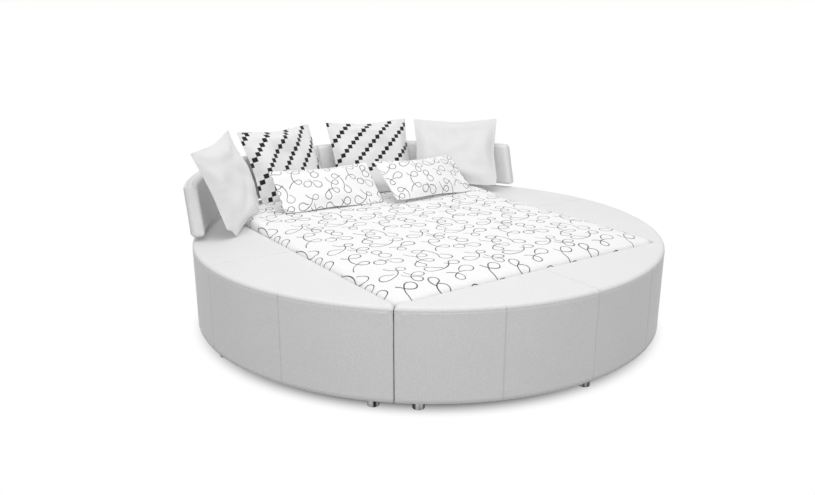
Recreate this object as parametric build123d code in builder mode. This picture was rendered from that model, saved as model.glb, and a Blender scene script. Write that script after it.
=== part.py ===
from build123d import *
import os
from math import asin, atan2, cos, degrees, radians, sin, sqrt, tan

# Round bed: a ring of four upholstered modules round a slatted mattress well,
# a curved headboard on four steel posts, a mattress with its bedspread, and seven loose cushions.
# Origin: on the floor, under the foot of the middle leg. +X is the right side seen from the foot
# end, +Y points to the head end, +Z is up.

os.makedirs("parts", exist_ok=True)

# Overall sizes: the round base is as wide as the mattress corners and the rim outside them
mattress_width = 1800.0
mattress_length = 2000.0
mattress_fit = 4.0
corner_rim = 54.64
base_bottom = 48.0
base_top = 520.0
joint_gap = 5.0
soft_clearance = 0.3
cut_overrun = 5.0

# Upholstery of the modules
skin = 2.0
side_foam = 10.0
top_foam = 38.0
top_edge_radius = 22.0

# Timber of the modules
wall = 15.0
top_board = 15.0
base_board = 15.0
board_recess = 6.0
rib_thickness = 18.0
rib_shares = (-0.66, -0.33, 0.0, 0.33, 0.66)
corner_block = 80.0

# Feet and their studs
foot_diameter = 60.0
foot_rim_inset = 58.0
foot_from_joint = 108.0
inner_foot_share = 0.35
inner_foot_from_wall = 60.0
foot_edge_round = 1.5
glide_diameter = 46.0
glide_depth = 6.0
stud_diameter = 10.0
stud_length = 36.0
thread_clearance = 0.25

# Plates that join the modules under their corners
plate_length = 130.0
plate_width = 30.0
plate_thickness = 3.0
plate_rim_inset = 34.0
plate_screw_from_joint = 45.0
plate_screw_diameter = 5.0
plate_screw_length = 34.0
screw_head_diameter = 9.0
screw_head_height = 2.0

# Mattress and bedspread
mattress_height = 200.0
mattress_top_stand = 42.0
mattress_corner_radius = 50.0
mattress_edge_radius = 34.0
bedspread_thickness = 3.0
bedspread_drop = 90.0

# Slatted frame
rail_width = 30.0
rail_height = 80.0
beam_width = 60.0
slat_width = 68.0
slat_thickness = 10.0
slat_count = 14
slat_end_margin = 70.0
slat_fit = 0.5
cap_length = 42.0
cap_wall = 3.0
rail_screw_diameter = 7.0
rail_screw_length = 55.0
rail_screw_head = 13.0
rail_screw_head_height = 3.0
rail_screw_shares = (-0.8, 0.0, 0.8)
leg_diameter = 40.0
leg_wall = 2.5
leg_plate = 60.0
leg_plate_thickness = 4.0
leg_places_share = (-0.6, 0.0, 0.6)
leg_foot_rim = 10.0

# Headboard: an arc that leans back as a whole
headboard_rim_inset = 73.0
headboard_thickness = 78.0
headboard_stand = 25.0
headboard_slant_height = 301.5
headboard_lean = 13.9
headboard_right_angle = 64.6
headboard_left_angle = 70.0
headboard_joint_gap = 4.0
headboard_edge_radius = 24.0
headboard_skin = 2.0
headboard_board = 18.0
headboard_board_margin = 26.0
headboard_board_depth = 30.0
post_width = 50.0
post_thickness = 8.0
post_angle_shares = (0.405, 0.786)
post_fit = 0.5
post_rise = 190.0
post_block_width = 90.0
post_block_depth = 56.0
post_block_height = 100.0
bolt_diameter = 8.0
bolt_length = 38.0
bolt_head_diameter = 16.0
bolt_head_height = 4.0
bolt_rise_shares = (0.45, 0.8)

# Loose cushions: three kinds
square_width = 640.0
square_height = 566.0
square_thickness = 140.0
square_draw_in = 32.0
small_width = 715.0
small_height = 365.0
small_thickness = 120.0
small_draw_in = 20.0
middle_width = 420.0
middle_height = 235.0
middle_thickness = 100.0
middle_draw_in = 20.0

# Where each cushion stands: its angle from the head axis in degrees, and how far its lower edge
# is from the headboard. How it leans: its turn, tilt and roll in degrees.
left_cushion_place = (-57.0, 228.0)
left_cushion_lean = (137.3, 20.3, 4.5)
left_cushion_perch = 1.5
left_square_place = (-17.0, 203.0)
left_square_lean = (103.0, 27.5, -0.3)
right_square_place = (16.6, 198.0)
right_square_lean = (75.0, 28.5, 0.8)
right_cushion_place = (47.6, 300.0)
right_cushion_lean = (53.0, 34.5, 0.5)
left_pillow_place = (-28.6, 672.0)
left_pillow_lean = (84.0, 50.0, 0.0)
right_pillow_place = (43.0, 690.0)
right_pillow_lean = (97.0, 50.0, -3.5)
middle_pillow_place = (10.6, 513.0)
middle_pillow_lean = (90.0, 52.0, 0.0)

# Sizes worked out from the ones above
half_width = mattress_width / 2
half_length = mattress_length / 2
base_radius = sqrt(half_width**2 + half_length**2) + corner_rim
foot_pitch_radius = base_radius - foot_rim_inset
plate_radius = base_radius - plate_rim_inset
mattress_top = base_top + mattress_top_stand
bedspread_top = mattress_top + bedspread_thickness
mattress_bottom = mattress_top - mattress_height
slat_bottom = mattress_bottom - slat_thickness
rail_top = slat_bottom - cap_wall
rail_bottom = rail_top - rail_height
frame_inset = skin + side_foam
board_top = base_top - skin - top_foam
board_bottom = board_top - top_board
base_board_bottom = base_bottom + board_recess
base_board_top = base_board_bottom + base_board
wall_radius = base_radius - frame_inset - wall
headboard_inner_radius = base_radius - headboard_rim_inset
headboard_bottom = base_top + headboard_stand
lean = radians(headboard_lean)
lean_direction = (0, sin(lean), cos(lean))
headboard_top = headboard_bottom + headboard_slant_height * cos(lean)
square_kind = (square_width, square_height, square_thickness, square_draw_in)
small_kind = (small_width, small_height, small_thickness, small_draw_in)
middle_kind = (middle_width, middle_height, middle_thickness, middle_draw_in)


class Module:
    """The plan of one ring module, in a frame whose +X runs from the bed's middle to the rim."""

    def __init__(self, name, turn, half_depth, half_chord):
        self.name = name
        self.turn = turn
        self.chord = half_depth + mattress_fit
        self.half_chord = half_chord
        self.joint_angle = atan2(half_chord, half_depth)
        self.plane = Plane(
            origin=(0, 0, 0),
            x_dir=(cos(radians(turn)), sin(radians(turn)), 0),
            z_dir=(0, 0, 1),
        )

    def joint_point(self, inset, along):
        """A point on the joint line, drawn in from the joint by inset."""
        side = joint_gap / 2 + inset
        a = self.joint_angle
        return (along * cos(a) + side * sin(a), along * sin(a) - side * cos(a))

    def joint_at_chord(self, inset):
        """Where the drawn-in joint line meets the drawn-in chord."""
        side = joint_gap / 2 + inset
        a = self.joint_angle
        along = (self.chord + inset - side * sin(a)) / cos(a)
        return self.joint_point(inset, along)

    def joint_at_rim(self, inset):
        """Where the drawn-in joint line meets the drawn-in rim."""
        side = joint_gap / 2 + inset
        return self.joint_point(inset, sqrt((base_radius - inset) ** 2 - side**2))

    def height(self, level):
        return self.plane.offset(level)

    def feet(self):
        """The centres of the feet: three along the rim and two along the chord."""
        step = self.joint_angle - foot_from_joint / foot_pitch_radius
        rim = [(foot_pitch_radius * cos(t), foot_pitch_radius * sin(t)) for t in (-step, 0, step)]
        row = self.chord + frame_inset + wall + inner_foot_from_wall
        side = self.half_chord * inner_foot_share
        return rim + [(row, -side), (row, side)]

    def plate_screws(self, near_side):
        """The two screws of the joining plate at one end of the module."""
        turn = self.joint_angle - plate_screw_from_joint / plate_radius
        return (plate_radius * cos(turn), near_side * plate_radius * sin(turn))


modules = [
    Module("right", 0, half_width, half_length),
    Module("head", 90, half_length, half_width),
    Module("left", 180, half_width, half_length),
    Module("foot", 270, half_length, half_width),
]


def module_face(module, inset):
    """The module's outline: chord, two joint lines and the arc of the rim."""
    chord_x, chord_y = module.joint_at_chord(inset)
    rim_x, rim_y = module.joint_at_rim(inset)
    with BuildLine() as outline:
        Polyline((rim_x, -rim_y), (chord_x, -chord_y), (chord_x, chord_y), (rim_x, rim_y))
        ThreePointArc((rim_x, rim_y), (base_radius - inset, 0), (rim_x, -rim_y))
    make_face(outline.edges())


def module_block(module, inset, bottom, top, round_radius=0.0):
    """A block on the module's outline, with its top edges rounded over."""
    with BuildPart() as block:
        with BuildSketch(module.height(bottom)):
            module_face(module, inset)
        extrude(amount=top - bottom)
        if round_radius > 0:
            fillet(block.faces().sort_by(Axis.Z)[-1].edges(), radius=round_radius)
    return block.part


def save(part, name):
    """Names a finished piece and writes it."""
    part.label = name
    export_step(part, "parts/" + name + ".step")


# Headboard posts: the slanted bars that the base, the foam and the boards are cut for
def post_places():
    """The post angles from the head axis, on both sides."""
    corner_angle = degrees(atan2(half_width, half_length))
    angles = [share * corner_angle for share in post_angle_shares]
    return [-angle for angle in reversed(angles)] + angles


def post_radius():
    """The radius at which a post lies against the back of the headboard's board."""
    return headboard_inner_radius + headboard_board_depth + headboard_board + post_thickness / 2


def post_plane(angle, level):
    """The plane of a post's section: X to the side, Y out, at the given level."""
    out = radians(90 - angle)
    shift = (level - headboard_bottom) * tan(lean)
    origin = (
        post_radius() * cos(out),
        post_radius() * sin(out) + shift,
        level,
    )
    return Plane(origin=origin, x_dir=(sin(out), -cos(out), 0), z_dir=(0, 0, 1))


block_bottom = board_bottom - post_block_height
post_top = headboard_bottom + post_rise * cos(lean)


def post_bars(clearance, bottom, top):
    """The four slanted bars, made larger by the clearance, between two levels."""
    with BuildPart() as bars:
        for angle in post_places():
            with BuildSketch(post_plane(angle, bottom)):
                Rectangle(post_width + 2 * clearance, post_thickness + 2 * clearance)
        extrude(amount=(top - bottom) / cos(lean), dir=lean_direction)
    return bars.part


post_slots = post_bars(post_fit, block_bottom - cut_overrun, post_top + post_fit)


def radial_plane(angle, level, back):
    """A plane on a post whose normal points out, set back from the post's middle."""
    plane = post_plane(angle, level)
    out = (sin(radians(angle)), cos(radians(angle)), 0)
    origin = plane.origin - Vector(*out) * back
    return Plane(origin=origin, x_dir=plane.x_dir, z_dir=out)


def block_bolt_places():
    """One bolt through each post inside the base."""
    level = block_bottom + post_block_height / 2
    return [radial_plane(angle, level, bolt_length / 2) for angle in post_places()]


def board_bolt_places():
    """Two bolts through each post and the headboard's board."""
    back = post_thickness / 2 + headboard_board
    levels = [headboard_bottom + share * post_rise * cos(lean) for share in bolt_rise_shares]
    return [radial_plane(angle, level, back) for angle in post_places() for level in levels]


def bolt_set(places, clearance):
    """Bolts with their heads, made larger by the clearance."""
    with BuildPart() as bolts:
        for plane in places:
            with BuildSketch(plane):
                Circle(bolt_diameter / 2 + clearance)
        extrude(amount=bolt_length + clearance)
        for plane in places:
            with BuildSketch(plane):
                Circle(bolt_head_diameter / 2 + clearance)
        extrude(amount=-bolt_head_height - clearance)
    return bolts.part


def block_bolt_holes():
    return bolt_set(block_bolt_places(), thread_clearance)


def board_bolt_holes():
    return bolt_set(board_bolt_places(), thread_clearance)


# Covers: leatherette skins of the four modules
def make_cover(module):
    outside = module_block(module, 0, base_bottom, base_top, top_edge_radius)
    inside = module_block(
        module, skin, base_bottom - cut_overrun, base_top - skin, top_edge_radius - skin
    )
    with BuildPart() as cover:
        add(outside)
        add(inside, mode=Mode.SUBTRACT)
        if module.name == "head":
            add(post_slots, mode=Mode.SUBTRACT)
        if module.name in ("left", "right"):
            add(side_screw_holes(module), mode=Mode.SUBTRACT)
    save(cover.part, module.name + "_cover")


# Padding: foam over the top and round the sides of each module
def make_padding(module):
    outside = module_block(module, skin, base_bottom, base_top - skin, top_edge_radius - skin)
    inside = module_block(module, frame_inset, base_bottom - cut_overrun, board_top)
    with BuildPart() as padding:
        add(outside)
        add(inside, mode=Mode.SUBTRACT)
        if module.name == "head":
            add(post_slots, mode=Mode.SUBTRACT)
        if module.name in ("left", "right"):
            add(side_screw_holes(module), mode=Mode.SUBTRACT)
    save(padding.part, module.name + "_padding")


def inner_face(module):
    """The plan of the space inside the walls, from the chord wall to the curved wall."""
    module_face(module, frame_inset)
    Circle(wall_radius, mode=Mode.INTERSECT)
    with Locations((module.chord + frame_inset + wall, 0)):
        Rectangle(
            base_radius, 2 * base_radius, align=(Align.MIN, Align.CENTER), mode=Mode.INTERSECT
        )


# Outer walls: thin boards bent round the rim
def make_outer_wall(module):
    with BuildPart() as outer_wall:
        with BuildSketch(module.height(base_bottom)):
            module_face(module, frame_inset)
            Circle(wall_radius, mode=Mode.SUBTRACT)
        extrude(amount=board_bottom - base_bottom)
    save(outer_wall.part, module.name + "_outer_wall")


# Inner walls: straight boards along the mattress
def make_inner_wall(module):
    with BuildPart() as inner_wall:
        with BuildSketch(module.height(base_bottom)):
            module_face(module, frame_inset)
            Circle(wall_radius, mode=Mode.INTERSECT)
            with Locations((module.chord + frame_inset, 0)):
                Rectangle(
                    wall, 2 * base_radius, align=(Align.MIN, Align.CENTER), mode=Mode.INTERSECT
                )
        extrude(amount=board_bottom - base_bottom)
        if module.name in ("left", "right"):
            add(side_screw_holes(module), mode=Mode.SUBTRACT)
    save(inner_wall.part, module.name + "_inner_wall")


# Top boards: under the foam
def make_top_board(module):
    with BuildPart() as board:
        add(module_block(module, frame_inset, board_bottom, board_top))
        if module.name == "head":
            add(post_slots, mode=Mode.SUBTRACT)
    save(board.part, module.name + "_top_board")


# Base boards: between the walls, with holes for the studs of the feet and the plate screws
def make_base_board(module):
    with BuildPart() as board:
        with BuildSketch(module.height(base_board_bottom)):
            inner_face(module)
            with Locations(*module.feet()):
                Circle(stud_diameter / 2 + thread_clearance, mode=Mode.SUBTRACT)
            with Locations(module.plate_screws(1), module.plate_screws(-1)):
                Circle(plate_screw_diameter / 2 + thread_clearance, mode=Mode.SUBTRACT)
        extrude(amount=base_board)
    save(board.part, module.name + "_base_board")


def rib_strips(module):
    """Strips across the module where the ribs and the two corner blocks stand."""
    with BuildSketch() as strips:
        for share in rib_shares:
            with Locations((base_radius / 2, share * module.half_chord)):
                Rectangle(base_radius, rib_thickness)
        for side in (1, -1):
            with Locations((base_radius / 2, side * module.half_chord)):
                Rectangle(base_radius, 2 * corner_block)
    return strips.sketch


def post_blocks(module):
    """The four blocks under the top board that hold the headboard's posts."""
    with BuildPart() as blocks:
        with BuildSketch(Plane.XY.offset(block_bottom)):
            for angle in post_places():
                at = post_plane(angle, block_bottom + post_block_height / 2)
                with Locations(Location((at.origin.X, at.origin.Y), -angle)):
                    Rectangle(post_block_width, post_block_depth)
            Circle(wall_radius, mode=Mode.INTERSECT)
        extrude(amount=post_block_height)
        add(post_slots, mode=Mode.SUBTRACT)
        add(block_bolt_holes(), mode=Mode.SUBTRACT)
    return blocks.part


# Ribs: cross boards between the walls, and a corner block at each end
def make_ribs(module):
    with BuildPart() as ribs:
        with BuildSketch(module.height(base_board_top)):
            inner_face(module)
            add(rib_strips(module), mode=Mode.INTERSECT)
            with Locations(module.plate_screws(1), module.plate_screws(-1)):
                Circle(plate_screw_diameter / 2 + thread_clearance, mode=Mode.SUBTRACT)
        extrude(amount=board_bottom - base_board_top)
        for place in module.feet():
            with Locations(module.height(base_board_top).location * Location(place)):
                Cylinder(
                    stud_diameter / 2 + thread_clearance,
                    stud_length,
                    align=(Align.CENTER, Align.CENTER, Align.MIN),
                    mode=Mode.SUBTRACT,
                )
        if module.name == "head":
            add(post_blocks(module))
    save(ribs.part, module.name + "_ribs")


# Screws of the slatted frame's side rails, which go through the upholstery into the inner walls
def side_screw_places(module):
    return [share * half_length for share in rail_screw_shares]


def side_screw_plane(module, share_place):
    """The plane of a screw's axis, which points out from the well."""
    mid = (rail_top + rail_bottom) / 2
    side = 1 if module.name == "right" else -1
    return Plane(
        origin=(side * (module.chord - rail_width), share_place, mid),
        x_dir=(0, 1, 0),
        z_dir=(side, 0, 0),
    )


def side_screw_holes(module):
    with BuildPart() as holes:
        for place in side_screw_places(module):
            with BuildSketch(side_screw_plane(module, place)):
                Circle(rail_screw_diameter / 2 + thread_clearance)
        extrude(amount=rail_screw_length + thread_clearance)
    return holes.part


# Feet: turned tubes with a plastic glide let into the bottom of each
def foot_sketches(radius, level, bore=0.0):
    """Rings at all feet on the given level."""
    with BuildSketch(Plane.XY.offset(level)) as rings:
        for module in modules:
            turn = module.turn
            with Locations(Location((0, 0, 0), turn)):
                with Locations(*module.feet()):
                    Circle(radius)
                    if bore > 0:
                        Circle(bore, mode=Mode.SUBTRACT)
    return rings.sketch


def make_feet():
    with BuildPart() as feet:
        add(foot_sketches(foot_diameter / 2, 0))
        extrude(amount=base_board_bottom)
        ends = feet.edges().filter_by(GeomType.CIRCLE).group_by(Axis.Z)[0]
        fillet(ends, radius=foot_edge_round)
        add(foot_sketches(glide_diameter / 2, 0))
        extrude(amount=glide_depth, mode=Mode.SUBTRACT)
        add(foot_sketches(stud_diameter / 2, glide_depth))
        extrude(amount=base_board_bottom, mode=Mode.SUBTRACT)
    save(feet.part, "feet")
    with BuildPart() as glides:
        add(foot_sketches(glide_diameter / 2, 0))
        extrude(amount=glide_depth)
    save(glides.part, "foot_glides")
    with BuildPart() as studs:
        add(foot_sketches(stud_diameter / 2, glide_depth))
        extrude(amount=base_board_bottom - glide_depth + stud_length)
    save(studs.part, "foot_studs")


# Joining plates under the corners, and their screws
def plate_planes(level):
    """The middle of each plate, with X along the rim."""
    angles = [modules[0].joint_angle, radians(180) - modules[0].joint_angle]
    angles += [angle + radians(180) for angle in angles]
    return [
        Plane(
            origin=(plate_radius * cos(a), plate_radius * sin(a), level),
            x_dir=(-sin(a), cos(a), 0),
            z_dir=(0, 0, 1),
        )
        for a in angles
    ]


def plate_screw_sketch(radius, level):
    with BuildSketch(Plane.XY.offset(level)) as spots:
        for module in modules:
            with Locations(Location((0, 0, 0), module.turn)):
                with Locations(module.plate_screws(1), module.plate_screws(-1)):
                    Circle(radius)
    return spots.sketch


def make_joining_plates():
    level = base_bottom - plate_thickness
    with BuildPart() as plates:
        with BuildSketch(*plate_planes(level)):
            Rectangle(plate_length, plate_width)
        extrude(amount=plate_thickness)
        fillet(plates.edges().filter_by(Axis.Z), radius=plate_width / 4)
        add(plate_screw_sketch(plate_screw_diameter / 2 + thread_clearance, level))
        extrude(amount=plate_thickness, mode=Mode.SUBTRACT)
    save(plates.part, "joining_plates")
    with BuildPart() as screws:
        add(plate_screw_sketch(plate_screw_diameter / 2, level))
        extrude(amount=plate_screw_length)
        add(plate_screw_sketch(screw_head_diameter / 2, level))
        extrude(amount=-screw_head_height)
    save(screws.part, "joining_screws")


# Slatted frame: rails, middle beam, slats in their end caps, legs
def rail_box(name, width, length, centre, holes=None):
    with BuildPart() as rail:
        with BuildSketch(Plane.XY.offset(rail_bottom)):
            with Locations(centre):
                Rectangle(width, length)
        extrude(amount=rail_height)
        if holes is not None:
            add(holes, mode=Mode.SUBTRACT)
    save(rail.part, name)


def make_rails():
    outer_x = half_width + mattress_fit
    outer_y = half_length + mattress_fit
    right, left = modules[0], modules[2]
    side_x = outer_x - rail_width / 2
    end_y = outer_y - rail_width / 2
    end_length = 2 * (outer_x - rail_width)
    rail_box("right_rail", rail_width, 2 * outer_y, (side_x, 0), side_screw_holes(right))
    rail_box("left_rail", rail_width, 2 * outer_y, (-side_x, 0), side_screw_holes(left))
    rail_box("head_rail", end_length, rail_width, (0, end_y))
    rail_box("foot_rail", end_length, rail_width, (0, -end_y))
    beam_length = 2 * (outer_y - rail_width)
    rail_box("middle_beam", beam_width, beam_length, (0, 0))


def make_rail_screws():
    with BuildPart() as screws:
        for module in (modules[0], modules[2]):
            planes = [side_screw_plane(module, place) for place in side_screw_places(module)]
            with BuildSketch(*planes):
                Circle(rail_screw_diameter / 2)
            extrude(amount=rail_screw_length)
            with BuildSketch(*planes):
                Circle(rail_screw_head / 2)
            extrude(amount=-rail_screw_head_height)
    save(screws.part, "rail_screws")


def slat_places():
    """The middle of each slat along the bed."""
    reach = half_length - slat_end_margin
    step = 2 * reach / (slat_count - 1)
    return [-reach + step * number for number in range(slat_count)]


slat_outer_end = half_width + mattress_fit - rail_width / 2
slat_inner_end = beam_width / 4


def make_slats():
    with BuildPart() as slats:
        with BuildSketch(Plane.XY.offset(slat_bottom)):
            for place in slat_places():
                for side in (1, -1):
                    with Locations((side * (slat_outer_end + slat_inner_end) / 2, place)):
                        Rectangle(slat_outer_end - slat_inner_end, slat_width)
        extrude(amount=slat_thickness)
    save(slats.part, "slats")


def make_slat_caps():
    """Open caps that hold the slat ends on the rails and on the beam."""
    outer_x = slat_outer_end + slat_fit
    inner_x = slat_inner_end - slat_fit
    outer_middle = outer_x + cap_wall - cap_length / 2
    inner_middle = inner_x / 2 + beam_width / 4
    inner_length = beam_width / 2 - inner_x + cap_wall
    with BuildPart() as caps:
        with BuildSketch(Plane.XY.offset(rail_top)):
            for place in slat_places():
                for side in (1, -1):
                    with Locations((side * outer_middle, place)):
                        Rectangle(cap_length, slat_width + 2 * (slat_fit + cap_wall))
                    with Locations((side * inner_middle, place)):
                        Rectangle(inner_length, slat_width + 2 * (slat_fit + cap_wall))
        extrude(amount=cap_wall + slat_thickness)
        with BuildSketch(Plane.XY.offset(slat_bottom)):
            for place in slat_places():
                for side in (1, -1):
                    with Locations((side * (outer_x + inner_x) / 2, place)):
                        Rectangle(outer_x - inner_x, slat_width + 2 * slat_fit)
        extrude(amount=slat_thickness, mode=Mode.SUBTRACT)
    save(caps.part, "slat_caps")


def leg_sketch(radius, level, bore=0.0):
    with BuildSketch(Plane.XY.offset(level)) as spots:
        for share in leg_places_share:
            with Locations((0, share * half_length)):
                Circle(radius)
                if bore > 0:
                    Circle(bore, mode=Mode.SUBTRACT)
    return spots.sketch


def make_legs():
    """Three tube legs under the beam, with a plate on top and a foot plug below."""
    bore = leg_diameter / 2 - leg_wall
    with BuildPart() as legs:
        add(leg_sketch(leg_diameter / 2, 0, bore))
        extrude(amount=rail_bottom - leg_plate_thickness)
        with BuildSketch(Plane.XY.offset(rail_bottom - leg_plate_thickness)):
            for share in leg_places_share:
                with Locations((0, share * half_length)):
                    Rectangle(leg_plate, leg_plate)
        extrude(amount=leg_plate_thickness)
    save(legs.part, "beam_legs")
    with BuildPart() as plugs:
        add(leg_sketch(bore, 0))
        extrude(amount=leg_foot_rim)
    save(plugs.part, "leg_plugs")


# Headboard halves
def arc_face(side, level, inner_radius, outer_radius, inset):
    """One half of the headboard in plan: two arcs, the joint and the far end."""
    centre_y = (level - headboard_bottom) * tan(lean)
    joint_x = headboard_joint_gap / 2 + inset
    half_angle = radians(headboard_right_angle if side > 0 else headboard_left_angle)

    def at_joint(radius):
        return (side * joint_x, centre_y + sqrt(radius**2 - joint_x**2))

    def at_angle(radius, angle):
        return (side * radius * sin(angle), centre_y + radius * cos(angle))

    def end_angle(radius):
        return half_angle - asin(inset / radius)

    middle = half_angle / 2
    with BuildLine() as outline:
        ThreePointArc(
            at_joint(inner_radius),
            at_angle(inner_radius, middle),
            at_angle(inner_radius, end_angle(inner_radius)),
        )
        Line(
            at_angle(inner_radius, end_angle(inner_radius)),
            at_angle(outer_radius, end_angle(outer_radius)),
        )
        ThreePointArc(
            at_angle(outer_radius, end_angle(outer_radius)),
            at_angle(outer_radius, middle),
            at_joint(outer_radius),
        )
        Line(at_joint(outer_radius), at_joint(inner_radius))
    make_face(outline.edges())


def headboard_panel(side, inset):
    """The padded half as a solid, drawn in all round by the inset."""
    bottom = headboard_bottom + inset
    top = headboard_top - inset
    inner = headboard_inner_radius + inset
    outer = headboard_inner_radius + headboard_thickness - inset
    with BuildPart() as panel:
        with BuildSketch(Plane.XY.offset(bottom)):
            arc_face(side, bottom, inner, outer, inset)
        extrude(amount=(top - bottom) / cos(lean), dir=lean_direction)
        joint_face = panel.faces().sort_by(Axis.X)[0 if side > 0 else -1]
        joint_edges = joint_face.edges()
        round_edges = [edge for edge in panel.edges() if edge not in joint_edges]
        fillet(round_edges, radius=headboard_edge_radius - inset)
    return panel.part


def headboard_core(side):
    """The bent board inside the padding."""
    bottom = headboard_bottom + headboard_board_margin
    top = headboard_top - headboard_board_margin
    inner = headboard_inner_radius + headboard_board_depth
    with BuildPart() as core:
        with BuildSketch(Plane.XY.offset(bottom)):
            arc_face(side, bottom, inner, inner + headboard_board, headboard_board_margin)
        extrude(amount=(top - bottom) / cos(lean), dir=lean_direction)
    return core.part


def make_headboard(side, name):
    bolts = board_bolt_holes()
    core = headboard_core(side)
    inside = headboard_panel(side, headboard_skin)
    with BuildPart() as cover:
        add(headboard_panel(side, 0))
        add(inside, mode=Mode.SUBTRACT)
        add(post_slots, mode=Mode.SUBTRACT)
    save(cover.part, name + "_cover")
    with BuildPart() as foam:
        add(inside)
        add(core, mode=Mode.SUBTRACT)
        add(post_slots, mode=Mode.SUBTRACT)
        add(bolts, mode=Mode.SUBTRACT)
    save(foam.part, name + "_foam")
    with BuildPart() as board:
        add(core)
        add(bolts, mode=Mode.SUBTRACT)
    save(board.part, name + "_board")


def make_posts():
    with BuildPart() as posts:
        add(post_bars(0, block_bottom, post_top))
        add(block_bolt_holes(), mode=Mode.SUBTRACT)
        add(board_bolt_holes(), mode=Mode.SUBTRACT)
    save(posts.part, "headboard_posts")
    save(bolt_set(block_bolt_places() + board_bolt_places(), 0), "headboard_bolts")


# Mattress and bedspread
def bed_block(inset, bottom, top, corner_radius, edge_radius):
    with BuildPart() as block:
        with BuildSketch(Plane.XY.offset(bottom)):
            RectangleRounded(
                mattress_width - 2 * inset, mattress_length - 2 * inset, corner_radius
            )
        extrude(amount=top - bottom)
        fillet(block.faces().sort_by(Axis.Z)[-1].edges(), radius=edge_radius)
    return block.part


def make_mattress():
    body = bed_block(
        bedspread_thickness,
        mattress_bottom,
        mattress_top,
        mattress_corner_radius - bedspread_thickness,
        mattress_edge_radius - bedspread_thickness,
    )
    save(body, "mattress")
    with BuildPart() as bedspread:
        add(
            bed_block(
                0,
                bedspread_top - bedspread_drop,
                bedspread_top,
                mattress_corner_radius,
                mattress_edge_radius,
            )
        )
        add(body, mode=Mode.SUBTRACT)
    save(bedspread.part, "bedspread")


# Cushions: two lofts back to back, from the seam's drawn-in outline to the crown
level_shares = (0.0, 0.3, 0.62, 0.86, 0.97, 1.0)
size_shares = (1.0, 0.95, 0.82, 0.6, 0.36, 0.14)
bulge_shares = (-1.0, -0.7, -0.1, 0.5, 0.6, 0.3)
corner_shares = (0.035, 0.08, 0.15, 0.2, 0.14, 0.055)


def cushion_outline(width, height, bulge, corner):
    """Four long arcs, bowed by the bulge, joined by four corner arcs."""
    x, y = width / 2, height / 2
    bend = corner * (1 - sin(radians(45)))
    with BuildLine() as outline:
        ThreePointArc((-x + corner, y), (0, y + bulge), (x - corner, y))
        ThreePointArc((x - corner, y), (x - bend, y - bend), (x, y - corner))
        ThreePointArc((x, y - corner), (x + bulge, 0), (x, -y + corner))
        ThreePointArc((x, -y + corner), (x - bend, -y + bend), (x - corner, -y))
        ThreePointArc((x - corner, -y), (0, -y - bulge), (-x + corner, -y))
        ThreePointArc((-x + corner, -y), (-x + bend, -y + bend), (-x, -y + corner))
        ThreePointArc((-x, -y + corner), (-x - bulge, 0), (-x, y - corner))
        ThreePointArc((-x, y - corner), (-x + bend, y - bend), (-x + corner, y))
    make_face(outline.edges())


def cushion_foot(place):
    """The middle of a cushion's lower edge, in front of the headboard."""
    angle, set_back = place
    reach = headboard_inner_radius - set_back
    return (reach * sin(radians(angle)), reach * cos(radians(angle)))


def make_cushion(name, kind, place, lean_angles, rest):
    """A cushion facing the middle of the bed, leaning out by tilt and settled on rest."""
    width, height, thickness, draw_in = kind
    turn, tilt, roll = lean_angles
    foot_x, foot_y = cushion_foot(place)
    out = Vector(cos(radians(turn)), sin(radians(turn)), 0)
    up = Vector(0, 0, 1)
    across = Vector(sin(radians(turn)), -cos(radians(turn)), 0)
    rise = up * cos(radians(tilt)) + out * sin(radians(tilt))
    rolled = across * cos(radians(roll)) + rise * sin(radians(roll))
    middle = Vector(foot_x, foot_y, rest) + rise * (height / 2)
    seam = Plane(origin=middle, x_dir=rolled, z_dir=across.cross(rise))
    with BuildPart() as cushion:
        for side in (1, -1):
            for level, share, bulge, corner in zip(
                level_shares, size_shares, bulge_shares, corner_shares
            ):
                with BuildSketch(seam.offset(side * level * thickness / 2)):
                    cushion_outline(
                        width * share, height * share, draw_in * bulge, height * corner
                    )
            loft()
    drop = rest + soft_clearance - cushion.part.bounding_box().min.Z
    save(cushion.part.moved(Location((0, 0, drop))), name)


for module in modules:
    make_cover(module)
    make_padding(module)
    make_outer_wall(module)
    make_inner_wall(module)
    make_top_board(module)
    make_base_board(module)
    make_ribs(module)
make_feet()
make_joining_plates()
make_rails()
make_rail_screws()
make_slats()
make_slat_caps()
make_legs()
make_headboard(1, "headboard_right")
make_headboard(-1, "headboard_left")
make_posts()
make_mattress()
left_cushion_rest = base_top + left_cushion_perch
make_cushion(
    "left_cushion", square_kind, left_cushion_place, left_cushion_lean, left_cushion_rest
)
make_cushion("left_square_cushion", square_kind, left_square_place, left_square_lean, base_top)
make_cushion("right_square_cushion", square_kind, right_square_place, right_square_lean, base_top)
make_cushion("right_cushion", square_kind, right_cushion_place, right_cushion_lean, bedspread_top)
make_cushion("left_pillow", small_kind, left_pillow_place, left_pillow_lean, bedspread_top)
make_cushion("right_pillow", small_kind, right_pillow_place, right_pillow_lean, bedspread_top)
make_cushion("middle_pillow", middle_kind, middle_pillow_place, middle_pillow_lean, bedspread_top)
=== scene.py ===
import random
from math import asin, atan2, cos, exp, hypot, pi, radians, sin, sqrt, tan

import bmesh
import bpy
import numpy
from mathutils import Matrix, Vector, noise


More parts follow.
